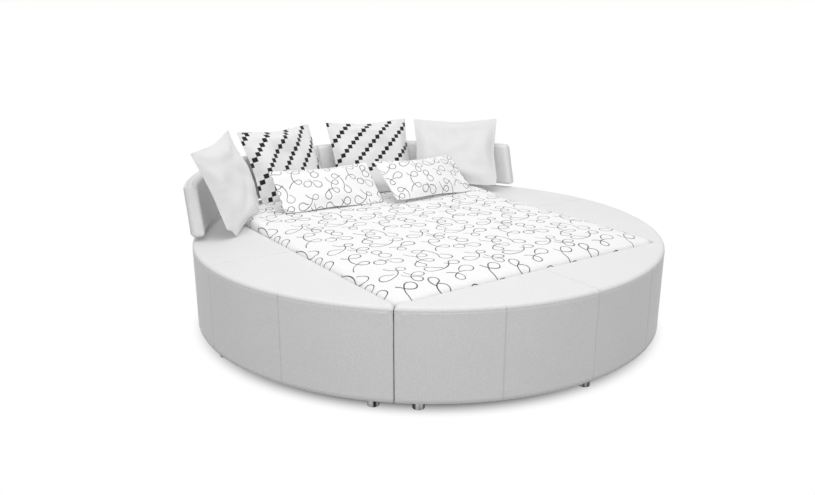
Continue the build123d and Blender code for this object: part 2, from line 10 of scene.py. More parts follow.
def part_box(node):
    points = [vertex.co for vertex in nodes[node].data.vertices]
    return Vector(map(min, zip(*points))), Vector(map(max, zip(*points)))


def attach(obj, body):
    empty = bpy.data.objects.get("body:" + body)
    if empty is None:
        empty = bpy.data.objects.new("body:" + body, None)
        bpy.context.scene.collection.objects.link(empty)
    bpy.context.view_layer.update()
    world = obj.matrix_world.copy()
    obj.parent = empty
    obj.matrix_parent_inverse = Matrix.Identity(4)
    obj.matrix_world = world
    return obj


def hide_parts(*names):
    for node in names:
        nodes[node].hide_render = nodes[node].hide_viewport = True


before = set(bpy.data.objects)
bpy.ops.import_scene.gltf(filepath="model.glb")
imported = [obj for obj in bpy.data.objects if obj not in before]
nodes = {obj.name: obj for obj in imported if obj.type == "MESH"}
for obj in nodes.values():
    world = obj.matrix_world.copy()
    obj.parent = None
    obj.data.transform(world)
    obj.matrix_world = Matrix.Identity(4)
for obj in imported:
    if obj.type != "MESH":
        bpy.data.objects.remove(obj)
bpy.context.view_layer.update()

scene = bpy.context.scene

# Studio: a floor that is dark grey near the bed and fades to white further out, painted shadow
# round the bed over its real shadow, a white surround, and the camera at the picture's angle,
# standing at the foot end on the left.
camera_data = bpy.data.cameras.new("camera")
camera_data.lens = 33.8
camera_data.sensor_width = 36.0
camera = bpy.data.objects.new("camera", camera_data)
camera.location = (-2.688, -3.704, 1.739)
look = Vector((0.5427, 0.7906, -0.2834))
camera.rotation_euler = look.to_track_quat("-Z", "Y").to_euler()
scene.collection.objects.link(camera)
scene.camera = camera
scene.view_settings.view_transform = "Standard"


def new_material(name):
    """A material with nodes, its node tree and its surface shader."""
    material = bpy.data.materials.new(name)
    material.use_nodes = True
    shader = material.node_tree.nodes["Principled BSDF"]
    return material, material.node_tree, shader


def add_node(tree, kind, **values):
    """A shader node; names with a number set an input, the rest set a property."""
    node = tree.nodes.new("ShaderNode" + kind)
    for key, value in values.items():
        if key.startswith("in_"):
            node.inputs[int(key[3:])].default_value = value
        else:
            setattr(node, key, value)
    return node


def join(tree, source, target, out=0, into=0):
    """Links one node to another."""
    tree.links.new(source.outputs[out], target.inputs[into])


def grey(value):
    return (value, value, value)


def add_piece(name, verts, faces):
    """A new smooth mesh in the scene."""
    mesh = bpy.data.meshes.new(name)
    mesh.from_pydata(verts, [], faces)
    mesh.shade_smooth()
    piece = bpy.data.objects.new(name, mesh)
    scene.collection.objects.link(piece)
    return piece


def maths(tree, operation, a, b=None, c=None, clamp=False):
    """One step of arithmetic; each of a, b and c is a socket or a number."""
    node = add_node(tree, "Math", operation=operation, use_clamp=clamp)
    for place, value in enumerate((a, b, c)):
        if value is None:
            continue
        if isinstance(value, (int, float)):
            node.inputs[place].default_value = value
        else:
            tree.links.new(value, node.inputs[place])
    return node.outputs[0]


def seen_by_camera(tree):
    """One for rays from the camera and for rays that show the surround in metal."""
    path = add_node(tree, "LightPath")
    seen = maths(tree, "MAXIMUM", path.outputs["Is Camera Ray"], path.outputs["Is Glossy Ray"])
    return maths(tree, "MAXIMUM", seen, path.outputs["Is Transmission Ray"])


surround = bpy.data.worlds.new("surround")
surround.use_nodes = True
scene.world = surround
world_tree = surround.node_tree
world_background = world_tree.nodes["Background"]
world_background.inputs["Color"].default_value = (1, 1, 1, 1)
ambient_light = 0.68
world_tree.links.new(
    maths(world_tree, "MULTIPLY_ADD", seen_by_camera(world_tree), 1 - ambient_light, ambient_light),
    world_background.inputs["Strength"],
)

floor_reach = 30.0
floor_drop = 0.0005
floor_shade = 0.22
shadow_end = 1.26
plain_white_from = 1.45
floor_corners = [(-1, -1), (1, -1), (1, 1), (-1, 1)]
floor = add_piece("floor", [(x * floor_reach, y * floor_reach, 0) for x, y in floor_corners], [(0, 1, 2, 3)])
floor.location.z = -floor_drop
floor_material, tree, shader = new_material("studio_floor")
shader.inputs["Base Color"].default_value = (*grey(floor_shade), 1)
shader.inputs["Roughness"].default_value = 0.9
shader.inputs["Specular IOR Level"].default_value = 0.0
place = add_node(tree, "TexCoord")
distance = add_node(tree, "VectorMath", operation="LENGTH")
join(tree, place, distance, out=3)
# Painted shadow: the floor's own dark grey shows near the bed, with its real shadow, and fades to white
# between these distances.
fade = add_node(tree, "MapRange", interpolation_type="SMOOTHSTEP", in_1=shadow_end, in_2=plain_white_from)
tree.links.new(distance.outputs["Value"], fade.inputs[0])
glow = add_node(tree, "Emission")
white = maths(tree, "MULTIPLY", fade.outputs[0], seen_by_camera(tree))
blend = add_node(tree, "MixShader")
tree.links.new(white, blend.inputs[0])
join(tree, shader, blend, into=1)
join(tree, glow, blend, into=2)
join(tree, blend, tree.nodes["Material Output"])
floor.data.materials.append(floor_material)


def add_lamp(name, size, power, location, aim=(0.0, 0.0, 0.3)):
    """A soft square lamp that faces a point on the bed."""
    data = bpy.data.lights.new(name, "AREA")
    data.size = size
    data.energy = power
    lamp = bpy.data.objects.new(name, data)
    lamp.location = location
    lamp.rotation_euler = (Vector(aim) - Vector(location)).to_track_quat("-Z", "Y").to_euler()
    scene.collection.objects.link(lamp)


add_lamp("overhead_lamp", 4.0, 66.0, (-0.2, -0.2, 4.2))
add_lamp("front_lamp", 2.5, 62.0, (-3.8, -4.7, 2.2))

# Frame: boards, ribs, rails, slats and legs of pine, plywood and beech, with zinc-plated screws.
# They are joined inside the covers, and show only from below or when the mattress is out.


def surface_place(tree, stretch=(1, 1, 1)):
    """The place on the piece in metres, stretched along its axes."""
    place = add_node(tree, "TexCoord")
    mapping = add_node(tree, "Mapping")
    mapping.inputs["Scale"].default_value = stretch
    join(tree, place, mapping, out=3)
    return mapping.outputs[0]


def add_noise(tree, place, scale, detail, distortion=0.0):
    """An uneven value from zero to one."""
    node = add_node(tree, "TexNoise")
    for key, value in (("Scale", scale), ("Detail", detail), ("Distortion", distortion)):
        node.inputs[key].default_value = value
    tree.links.new(place, node.inputs[0])
    return node.outputs["Fac"]


def add_bump(tree, shader, height, depth, strength=1.0, below=None):
    """Relief of the given depth in metres."""
    bump = add_node(tree, "Bump")
    bump.inputs["Strength"].default_value = strength
    bump.inputs["Distance"].default_value = depth
    tree.links.new(height, bump.inputs["Height"])
    if below is not None:
        tree.links.new(below, bump.inputs["Normal"])
    tree.links.new(bump.outputs["Normal"], shader.inputs["Normal"])
    return bump.outputs["Normal"]


def mix_colours(tree, amount, colours, target):
    """A colour between two others, by a socket from zero to one, given to the target socket."""
    mixer = add_node(tree, "Mix", data_type="RGBA")
    mixer.inputs["A"].default_value = (*colours[0], 1)
    mixer.inputs["B"].default_value = (*colours[1], 1)
    tree.links.new(amount, mixer.inputs[0])
    tree.links.new(mixer.outputs["Result"], target)
    return mixer.outputs["Result"]


def vary_roughness(tree, shader, amount, low, high):
    """Roughness between two values, by a socket from zero to one."""
    span = add_node(tree, "MapRange", in_3=low, in_4=high)
    tree.links.new(amount, span.inputs[0])
    tree.links.new(span.outputs[0], shader.inputs["Roughness"])


def wood(name, pale, dark, along, rings):
    """Sawn timber with its grain along one axis."""
    material, tree, shader = new_material(name)
    stretch = [28.0, 28.0, 28.0]
    stretch[along] = 1.6
    grain = add_noise(tree, surface_place(tree, stretch), rings, 6.0, 1.2)
    mix_colours(tree, grain, (dark, pale), shader.inputs["Base Color"])
    vary_roughness(tree, shader, grain, 0.5, 0.72)
    add_bump(tree, shader, grain, 0.0006, 0.5)
    return material


def speckled(name, dark, pale, scale, rough, relief, metallic=0.0, stretch=(1, 1, 1), contrast=1.0):
    """Foam, plastic or metal with a fine irregular surface."""
    material, tree, shader = new_material(name)
    shader.inputs["Metallic"].default_value = metallic
    grain = add_noise(tree, surface_place(tree, stretch), scale, 4.0)
    fleck = maths(tree, "MULTIPLY_ADD", grain, contrast, 0.5 - contrast / 2, clamp=True)
    mix_colours(tree, fleck, (dark, pale), shader.inputs["Base Color"])
    vary_roughness(tree, shader, grain, *rough)
    add_bump(tree, shader, grain, relief, 0.6)
    return material


lengthwise, crosswise = 1, 0
pine_colours = ((0.80, 0.65, 0.44), (0.66, 0.48, 0.28))
plywood = wood("plywood", (0.74, 0.58, 0.40), (0.60, 0.44, 0.28), crosswise, 3.0)
pine_lengthwise = wood("pine_lengthwise", *pine_colours, lengthwise, 4.0)
pine_crosswise = wood("pine_crosswise", *pine_colours, crosswise, 4.0)
beech = wood("beech", (0.79, 0.62, 0.44), (0.68, 0.50, 0.33), crosswise, 7.0)
foam = speckled("foam", (0.78, 0.74, 0.60), (0.90, 0.87, 0.75), 900.0, (0.85, 0.95), 0.0012)
black_plastic = speckled("black_plastic", grey(0.04), grey(0.06), 700.0, (0.45, 0.6), 0.0002)
zinc_steel = speckled(
    "zinc_steel", (0.54, 0.54, 0.57), (0.66, 0.66, 0.68), 300.0, (0.28, 0.42), 0.0001, metallic=1.0
)
black_steel = speckled("black_steel", grey(0.09), grey(0.13), 500.0, (0.38, 0.5), 0.0002)
# Chrome for the feet: near black with bright upright streaks in its colour, painted reflections.
chrome = speckled(
    "chrome", grey(0.008), (0.46, 0.46, 0.48), 42.0, (0.08, 0.16), 0.00005,
    metallic=1.0, stretch=(1, 1, 0.05), contrast=6.0,
)

finish_endings = [
    (foam, ("_padding", "_foam")),
    (plywood, ("_outer_wall", "_inner_wall", "_board")),
    (pine_crosswise, ("_ribs", "head_rail", "foot_rail")),
    (pine_lengthwise, ("right_rail", "left_rail", "middle_beam")),
    (beech, ("slats",)),
    (black_plastic, ("slat_caps", "foot_glides", "leg_plugs")),
    (chrome, ("feet",)),
    (zinc_steel, ("foot_studs", "_screws", "_bolts", "joining_plates")),
    (black_steel, ("headboard_posts", "beam_legs")),
]
for name, node in nodes.items():
    for material, endings in finish_endings:
        if name.endswith(endings):
            for slot in node.material_slots:
                slot.material = material

# Module covers: four leatherette covers, stretched over foam on the ring's modules. Each is sewn
# from a top and side panels, with a seam round the rim, upright seams and one seam across the top.
base_radius = 1.4
base_bottom = 0.048
base_top = 0.52
well_half = {"side": 0.9, "end": 1.0}
well_fit = 0.004
joint_half_gap = 0.0025
top_edge_radius = 0.022
rim_seam_height = base_top - top_edge_radius
hem_corner_radius = 0.0065
corner_radius = 0.0065
corner_middle_share = 0.293
seam_shares = (0.25, 0.5, 0.75)
station_step = 0.019
level_step = 0.02
joint_step = 0.022
close_step = 0.0075
close_reach = 0.24
puckered_band = 0.07
rounding_steps = 8
rim_seam_width, rim_seam_depth = 0.0030, 0.0011
upright_seam_width, upright_seam_depth, top_seam_depth = 0.0028, 0.0018, 0.0016
seam_shade_width = 0.0034
pucker_height, joint_pucker_height = 0.0007, 0.0055
pucker_drop, joint_pucker_drop = 0.02, 0.03
joint_pucker_reach = 0.16


def spread(start, end, step, extra=()):
    """Values from start to end, about a step apart, with closer ones beside each extra one."""
    count = max(2, round((end - start) / step))
    values = [start + (end - start) * i / count for i in range(count + 1)]
    for place in extra:
        values = [v for v in values if abs(v - place) > 0.6 * step or v in (start, end)]
        values += [place + side for side in (-0.012, -0.005, -0.002, 0, 0.002, 0.005, 0.012)]
    return sorted(v for v in values if start <= v <= end)


def coons(low, high, left, right):
    """Fills four edges with a smooth net: low and high run across, left and right run up."""
    across, up = len(low), len(left)
    net = []
    for j in range(up):
        w = j / (up - 1)
        row = []
        for i in range(across):
            t = i / (across - 1)
            ruled = low[i].lerp(high[i], w) + left[j].lerp(right[j], t)
            corners = low[0].lerp(low[-1], t).lerp(high[0].lerp(high[-1], t), w)
            row.append(ruled - corners)
        net.append(row)
    return net


def build_shell(name, rings, across, up, close_bottom=False):
    """A skin of rings, from the lowest to the top one, with a net over the top ring.
    A ring starts at a corner and runs across, up, back across and down again."""
    verts = [point for ring in rings for point in ring]
    count = len(rings[0])
    faces = []
    for level in range(len(rings) - 1):
        for i in range(count):
            a, b = level * count + i, level * count + (i + 1) % count
            faces.append((a, b, b + count, a + count))

    def cap(ring, first, flip):
        low = ring[: across + 1]
        right = ring[across : across + up + 1]
        high = list(reversed(ring[across + up : 2 * across + up + 1]))
        left = [ring[0]] + list(reversed(ring[2 * across + up :]))
        net = coons(low, high, left, right)
        index = {}
        for j in range(up + 1):
            for i in range(across + 1):
                if j == 0:
                    index[i, j] = first + i
                elif i == across:
                    index[i, j] = first + across + j
                elif j == up:
                    index[i, j] = first + across + up + (across - i)
                elif i == 0:
                    index[i, j] = first + 2 * across + up + (up - j)
                else:
                    index[i, j] = len(verts)
                    verts.append(net[j][i])
        for j in range(up):
            for i in range(across):
                quad = (index[i, j], index[i + 1, j], index[i + 1, j + 1], index[i, j + 1])
                faces.append(tuple(reversed(quad)) if flip else quad)

    cap(rings[-1], (len(rings) - 1) * count, False)
    if close_bottom:
        cap(rings[0], 0, True)
    return add_piece(name, verts, faces)


def press_shape(piece, push):
    """Moves each point along its normal by push(point, normal)."""
    mesh = piece.data
    normals = [Vector(n.vector) for n in mesh.vertex_normals]
    places = [v.co.copy() for v in mesh.vertices]
    for vert, at, normal in zip(mesh.vertices, places, normals):
        vert.co = at + normal * push(at, normal)
    mesh.update()


def corner_ease(distance, cut):
    """How far an edge moves inward this near to a corner that is rounded to the radius cut."""
    return cut - sqrt(max(cut**2 - max(cut - distance, 0) ** 2, 0))


def mark_seam_shade(piece, nearness):
    """Stores on each point how near it is to a seam, for the material to paint shade and dirt along it."""
    layer = piece.data.attributes.new("seam", "FLOAT", "POINT")
    layer.data.foreach_set("value", [nearness(v.co) for v in piece.data.vertices])


def bell(offset, width):
    """One in the middle, falling away to nothing past the width."""
    return exp(-((offset / width) ** 2))


def groove(offset, width, depth):
    """A sewn seam: a narrow dip between two soft swells."""
    return depth * (0.35 * bell(offset, 5 * width) - 1.35 * bell(offset, width))


def ripple(x, y, z, seed):
    """Smooth unevenness, from about minus one to one."""
    return noise.noise(Vector((x + seed, y - seed, z)))


def billow(at, scale, seed):
    """The same at a place on a piece."""
    return ripple(at.x * scale, at.y * scale, at.z * scale, seed)


class ModulePlan:
    """The plan of one module in its own frame, whose X runs from the bed's middle to the rim."""

    def __init__(self, half_depth, half_chord):
        self.angle = atan2(half_chord, half_depth)
        self.chord = half_depth + well_fit

    def joint_point(self, side, along):
        """The point this far out along a joint, and this far beside it."""
        a = self.angle
        return Vector((along * cos(a) + side * sin(a), along * sin(a) - side * cos(a), 0))

    def corners(self, inset):
        """The chord's corner and the rim's corner on the left of the outward direction."""
        side = joint_half_gap + inset
        a = self.angle
        near = (self.chord + inset - side * sin(a)) / cos(a)
        far = sqrt((base_radius - inset) ** 2 - side**2)
        return self.joint_point(side, near), self.joint_point(side, far)

    def ring(self, inset, height, chord_shares, joint_shares):
        """Chord from left to right, the right joint out, the rim back and the left joint in."""
        near, far = self.corners(inset)
        turn = atan2(far.y, far.x)
        reach = base_radius - inset
        cut = max(corner_radius - inset, 0.001)
        chord = [Vector((near.x, near.y * (2 * share - 1), 0)) for share in chord_shares]
        joint = []
        length = (far - near).length
        inward = Vector((sin(self.angle), -cos(self.angle), 0))
        start = corner_middle_share * cut
        for share in joint_shares[1:]:
            left_over = max((1 - share) * length, start)
            joint.append(near.lerp(far, 1 - left_over / length) + inward * corner_ease(left_over, cut))
        rim = []
        for share in reversed(chord_shares[:-1]):
            arc = max(min(share, 1 - share) * 2 * turn * reach, start)
            angle = (1 if share > 0.5 else -1) * (turn - arc / reach)
            r = reach - corner_ease(arc, cut)
            rim.append(Vector((r * cos(angle), r * sin(angle), 0)))
        back = [Vector((p.x, -p.y, 0)) for p in reversed(joint[:-1])]
        points = chord + joint + rim + back
        lifted = []
        for p in points:
            off_joint = abs(abs(atan2(p.y, p.x)) - self.angle) * p.length
            off_rim = base_radius - p.length
            rise = 0.0
            if height < base_bottom + hem_corner_radius and off_rim < hem_corner_radius + 0.004:
                short = max(hem_corner_radius - off_joint, 0)
                rise = hem_corner_radius - sqrt(hem_corner_radius**2 - short**2)
                rise *= 1 - (height - base_bottom) / hem_corner_radius
            lifted.append(Vector((p.x, -p.y, height + rise)))
        return lifted


def module_push(plan):
    """How the leatherette lies: seams, puckers under the rim seam and soft dents."""
    arc_step = plan.angle * base_radius / 2

    def side_push(at, turn):
        arc = turn * base_radius
        amount = 0.0014 + groove(at.z - rim_seam_height, rim_seam_width, rim_seam_depth)
        for seam in (-arc_step, 0.0, arc_step):
            amount += groove(arc - seam, upright_seam_width, upright_seam_depth)
            pull = bell(arc - seam, 0.05)
            amount += 0.0007 * pull * ripple(seam, at.z * 22, 0, 9.1)
        under = max(rim_seam_height - at.z, 0)
        near_joint = bell(abs(arc) - plan.angle * base_radius, joint_pucker_reach)
        height = min(under / 0.01, 1) * (pucker_height + joint_pucker_height * near_joint)
        height *= exp(-under / (pucker_drop + joint_pucker_drop * near_joint))
        amount += height * ripple(arc * 40, at.z * 14, turn, 3.1)
        fade = min(under / 0.05, 1)
        amount += fade * 0.0012 * ripple(arc * 2.6, at.z * 2.2, 0, 7.7)
        amount += fade * 0.0004 * ripple(arc * 11, at.z * 9, 0, 1.3)
        return amount

    def top_push(at, reach):
        edge = min(base_radius - reach, at.x - plan.chord, 0.06) / 0.06
        edge = max(min(edge, 1.0), 0.0)
        dents = 0.0018 * billow(at, 3.2, 2.0) + 0.0006 * billow(at, 11.0, 5.0) - 0.0006
        return 0.0008 + groove(at.y, upright_seam_width, top_seam_depth) + edge * dents

    def push(at, normal):
        reach = hypot(at.x, at.y)
        if abs(normal.z) >= 0.75:
            return top_push(at, reach)
        if reach > base_radius - 0.024 and at.z > base_bottom:
            return side_push(at, atan2(at.y, at.x))
        return 0.0

    return push


def module_seams(plan):
    """Nearness of a point of a module to its rim seam, upright seams or top seam."""
    arc_step = plan.angle * base_radius / 2

    def nearness(at):
        reach, arc = hypot(at.x, at.y), atan2(at.y, at.x) * base_radius
        if at.z > rim_seam_height + 0.018:
            away = abs(at.y)
        elif reach < base_radius - 0.03:
            return 0.0
        else:
            upright = min(abs(arc - seam) for seam in (-arc_step, 0.0, arc_step))
            away = min(upright, abs(at.z - rim_seam_height) + 0.0015)
        return bell(away, seam_shade_width)

    return nearness


def leatherette_material():
    """White coated fabric: fine pebbled grain, faint creases, and seams made greyer by painted shade and
    dirt.
    """
    material, tree, shader = new_material("leatherette")
    place = surface_place(tree)
    grain = add_node(tree, "TexVoronoi", feature="SMOOTH_F1")
    grain.inputs["Scale"].default_value = 620.0
    tree.links.new(place, grain.inputs[0])
    crease = add_noise(tree, place, 38.0, 5.0, 1.6)
    cloud = add_noise(tree, place, 2.4, 2.0)
    mottle = add_noise(tree, place, 150.0, 3.0)
    creased = add_bump(tree, shader, crease, 0.0012, 0.5)
    add_bump(tree, shader, grain.outputs["Distance"], 0.0005, 0.6, creased)
    vary_roughness(tree, shader, crease, 0.40, 0.54)
    seam = add_node(tree, "Attribute", attribute_name="seam")
    # Painted shade and dirt: the tone is darker near the seams, where their grooves would be in shade.
    seam_dirt_and_painted_shade = maths(tree, "MULTIPLY_ADD", seam.outputs["Fac"], -0.42, 0.62)
    clouded = maths(tree, "MULTIPLY_ADD", cloud, 0.16, -0.26)
    uneven = maths(tree, "MULTIPLY_ADD", mottle, 0.75, clouded)
    shade = maths(tree, "ADD", seam_dirt_and_painted_shade, uneven)
    mix_colours(tree, shade, (grey(0.54), grey(0.84)), shader.inputs["Base Color"])
    shader.inputs["Specular IOR Level"].default_value = 0.4
    return material


leatherette = leatherette_material()
# Near-black cloth on the faces where two modules meet: painted shade for the narrow gaps between the
# modules.
painted_joint_shade = speckled("painted_joint_shade", grey(0.04), grey(0.07), 800.0, (0.85, 0.95), 0.0006)
module_turns = {"right": 0, "head": 90, "left": 180, "foot": 270}
for module_name, turn in module_turns.items():
    on_side = module_name in ("right", "left")
    half_depth = well_half["side" if on_side else "end"]
    half_chord = well_half["end" if on_side else "side"]
    plan = ModulePlan(half_depth, half_chord)
    rim_length = 2 * plan.angle * base_radius
    seams = [rim_length * share for share in seam_shares]
    stations = spread(0, rim_length, station_step, seams)
    stations = [place for place in stations if close_reach < place < rim_length - close_reach]
    stations += spread(0, close_reach, close_step)
    stations += spread(rim_length - close_reach, rim_length, close_step)
    along = [place / rim_length for place in sorted(stations)]
    near, far = plan.corners(0)
    joint_length = (far - near).length
    joint_count = round(joint_length / joint_step)
    joint_shares = [i / joint_count for i in range(joint_count + 1)]
    joint_shares.insert(-1, 1 - 0.009 / joint_length)
    joint_count += 1
    rings = [plan.ring(0.016, base_bottom + 0.001, along, joint_shares)]
    rings.append(plan.ring(0.0015, base_bottom, along, joint_shares))
    levels = spread(base_bottom + 0.0015, rim_seam_height - puckered_band, level_step)
    levels += spread(rim_seam_height - puckered_band, rim_seam_height, close_step, [rim_seam_height])[1:]
    for height in levels:
        rings.append(plan.ring(0, height, along, joint_shares))
    for step in range(1, rounding_steps + 1):
        turn_up = radians(90 * step / rounding_steps)
        inset = top_edge_radius * (1 - cos(turn_up))
        level = rim_seam_height + top_edge_radius * sin(turn_up)
        rings.append(plan.ring(inset, level, along, joint_shares))
    cover = build_shell(module_name + "_module_cover", rings, len(along) - 1, joint_count)
    mark_seam_shade(cover, module_seams(plan))
    press_shape(cover, module_push(plan))
    cover.data.transform(Matrix.Rotation(radians(turn), 4, "Z"))
    cover.data.materials.append(leatherette)
    cover.data.materials.append(painted_joint_shade)
    # The faces along the joints take the painted shade.
    across, count = len(along) - 1, 2 * (len(along) - 1 + joint_count)
    for face in cover.data.polygons[: count * (len(rings) - rounding_steps - 1)]:
        station = face.index % count
        on_right = across <= station < across + joint_count - 1
        on_left = station > 2 * across + joint_count
        face.material_index = int(on_right or on_left)
    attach(cover, "root")
    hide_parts(module_name + "_cover")

# Headboard: two halves, each a bent board under foam and leatherette, bolted to slanted steel
# posts. The cover is seamed round its front and back edges, and meets the other half in the middle.
headboard_inner = 1.327
headboard_thickness = 0.078
headboard_bottom = 0.545
headboard_top = 0.8377
headboard_lean = radians(13.9)
headboard_reach = {"right": radians(64.6), "left": radians(70.0)}
headboard_edge = 0.024
headboard_half_gap = 0.002
headboard_seam_width = 0.0022
headboard_seam_depths = {"front": 0.0016, "back": 0.0013}


def headboard_shift(height):
    """How far back the lean takes the headboard at this height."""
    return (height - headboard_bottom) * tan(headboard_lean)


def headboard_ring(inset, height, reach, along, through):
    """Front arc from the joint to the far end, the end face, the back arc and the joint face."""
    near, far = headboard_inner + inset, headboard_inner + headboard_thickness - inset
    shift = headboard_shift(height)
    cut = max(headboard_edge - inset, 0.001)
    start = corner_middle_share * cut

    def arc(radius, toward):
        first = asin((headboard_half_gap + inset) / radius)
        last = reach - asin(inset / radius)
        points = []
        for share in along:
            left_over = max((1 - share) * (last - first) * radius, start)
            angle = last - left_over / radius
            r = radius + toward * corner_ease(left_over, cut)
            points.append(Vector((r * sin(angle), r * cos(angle) + shift, height)))
        return points

    front, back = arc(near, 1), arc(far, -1)
    end_face = []
    for share in through[1:-1]:
        radius = near + (far - near) * share
        last = reach - asin(inset / radius)
        left_over = max(min(share, 1 - share) * (far - near), start)
        angle = last - corner_ease(left_over, cut) / radius
        end_face.append(Vector((radius * sin(angle), radius * cos(angle) + shift, height)))
    joint = [back[0].lerp(front[0], share) for share in through[1:-1]]
    return front + end_face + list(reversed(back)) + joint


def headboard_push(at, normal):
    """Soft dents, a seam along the front edges and puckers beside it."""
    full_reach = headboard_reach["right" if at.x > 0 else "left"]
    shift = headboard_shift(at.z)
    reach = hypot(at.x, at.y - shift)
    arc = abs(atan2(at.x, at.y - shift)) * headboard_inner
    depth = reach - headboard_inner
    end = full_reach * headboard_inner - arc
    amount = 0.0008 + 0.0012 * billow(at, 4.0, 3.0) + 0.0005 * billow(at, 13.0, 8.0)
    from_edge = min(at.z - headboard_bottom, headboard_top - at.z, end)
    if from_edge < 0.02:
        back_edge = headboard_thickness - headboard_edge
        amount += groove(depth - headboard_edge, headboard_seam_width, headboard_seam_depths["front"])
        amount += groove(depth - back_edge, headboard_seam_width, headboard_seam_depths["back"])
    else:
        puckers = bell(from_edge - 0.03, 0.03)
        amount += 0.0009 * puckers * ripple(arc * 30, at.z * 8, depth * 8, 4.4)
    return amount


def headboard_seams(at):
    """Nearness of a point to the seams that run round the front and back edges."""
    depth = hypot(at.x, at.y - headboard_shift(at.z)) - headboard_inner
    away = min(abs(depth - headboard_edge), abs(depth - headboard_thickness + headboard_edge))
    full_reach = headboard_reach["right" if at.x > 0 else "left"]
    end = (full_reach - atan2(abs(at.x), at.y)) * headboard_inner
    on_edge = min(at.z - headboard_bottom, headboard_top - at.z, end) < 0.02
    return bell(away, 0.0036) if on_edge else 0.0


along = spread(0, 1, 1 / 74)
through = [i / 8 for i in range(9)]
profile = []
for step in range(rounding_steps):
    turn_up = radians(90 * step / (rounding_steps - 1))
    profile.append((headboard_edge * (1 - sin(turn_up)), headboard_edge * (1 - cos(turn_up))))
upper = [(inset, headboard_top - rise) for inset, rise in reversed(profile)]
profile = [(inset, headboard_bottom + rise) for inset, rise in profile]
flat_levels = spread(headboard_bottom + headboard_edge, headboard_top - headboard_edge, level_step)[1:-1]
profile += [(0, level) for level in flat_levels] + upper
for half, mirror in (("right", 1), ("left", -1)):
    reach = headboard_reach[half]
    half_rings = [headboard_ring(inset, level, reach, along, through) for inset, level in profile]
    cover_name = "headboard_" + half + "_padding_cover"
    cover = build_shell(cover_name, half_rings, len(along) - 1, len(through) - 1, True)
    if mirror < 0:
        cover.data.transform(Matrix.Scale(-1, 4, (1, 0, 0)))
        cover.data.flip_normals()
    mark_seam_shade(cover, headboard_seams)
    press_shape(cover, headboard_push)
    cover.data.materials.append(leatherette)
    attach(cover, "root")
    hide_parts("headboard_" + half + "_cover")

# Mattress: springs and felt in quilted ticking, its two borders finished with a sewn tape. It
# lies on the slats, in the well between the modules.
mattress_half_width = 0.9
mattress_half_length = 1.0
mattress_bottom = 0.362
mattress_top = 0.562
mattress_inset = 0.003
mattress_corner = 0.05
mattress_edge = 0.034
sinks_above = 0.47
edge_sink, edge_sink_reach = 0.027, 0.085
corner_sink, corner_sink_reach = 0.012, 0.2


def slab_ring(inset, height, corner, along, up):
    """A rounded rectangle round the bed's middle, from its foot end's left corner."""
    cut = max(corner - inset, 0.002)
    half = (mattress_half_width - inset, mattress_half_length - inset)
    points = []
    for quarter in range(4):
        shares = up if quarter % 2 else along
        reach, away = half[quarter % 2], half[1 - quarter % 2]
        for share in shares[:-1]:
            left_over = max(min(share, 1 - share) * 2 * reach, corner_middle_share * cut)
            place = (reach - left_over) * (1 if share > 0.5 else -1)
            flat = Vector((place, corner_ease(left_over, cut) - away, 0))
            flat.rotate(Matrix.Rotation(radians(90 * quarter), 3, "Z"))
            points.append(Vector((flat.x, flat.y, height)))
    return points


def round_over(bottom_levels, top, edge, inset, corner, along, up):
    """Rings for a slab whose side has the given levels and whose top edge is rounded."""
    rings = [slab_ring(inset + more, level, corner, along, up) for more, level in bottom_levels]
    for step in range(rounding_steps + 1):
        turn_up = radians(90 * step / rounding_steps)
        more = edge * (1 - cos(turn_up))
        rings.append(slab_ring(inset + more, top - edge * (1 - sin(turn_up)), corner, along, up))
    return rings


def soft_edge(at):
    """How far the top gives way at its edges and most at the foot end's corners."""
    if at.z < sinks_above:
        return 0.0
    edge = min(mattress_half_width - abs(at.x), mattress_half_length - abs(at.y))
    corner = hypot(mattress_half_width - abs(at.x), mattress_half_length + at.y)
    clear_of_cushions = min(max((0.5 - at.y) / 0.2, 0), 1)
    sink = edge_sink * bell(edge, edge_sink_reach) + corner_sink * bell(corner, corner_sink_reach)
    return sink * clear_of_cushions * min((at.z - sinks_above) / 0.05, 1)


def let_edges_sink(piece):
    """Lowers the points of a slab's upper part by its soft edge."""
    for vert in piece.data.vertices:
        vert.co.z -= soft_edge(vert.co)
    piece.data.update()


def mattress_push(at, normal):
    """Two sewn tapes round the sides, and shallow quilting above and below."""
    amount = 0.0
    if abs(normal.z) < 0.7:
        for level in (mattress_bottom + 0.022, mattress_top - 0.036):
            amount += 0.0024 * bell(at.z - level, 0.005)
        amount -= 0.0022
    else:
        quilt = sin((at.x + at.y) * 26) * sin((at.x - at.y) * 26)
        amount -= 0.0016 * (1 - abs(quilt)) ** 3
    return amount


def weave_relief(tree, place, pitch):
    """Crossing threads of a plain weave, from zero to one, for places in metres."""
    split = add_node(tree, "SeparateXYZ")
    tree.links.new(place, split.inputs[0])
    turn = 2 * pi / pitch
    warp = maths(tree, "SINE", maths(tree, "MULTIPLY", split.outputs[0], turn))
    weft = maths(tree, "SINE", maths(tree, "MULTIPLY", split.outputs[1], turn))
    return maths(tree, "MULTIPLY_ADD", maths(tree, "MULTIPLY", warp, weft), 0.5, 0.5)


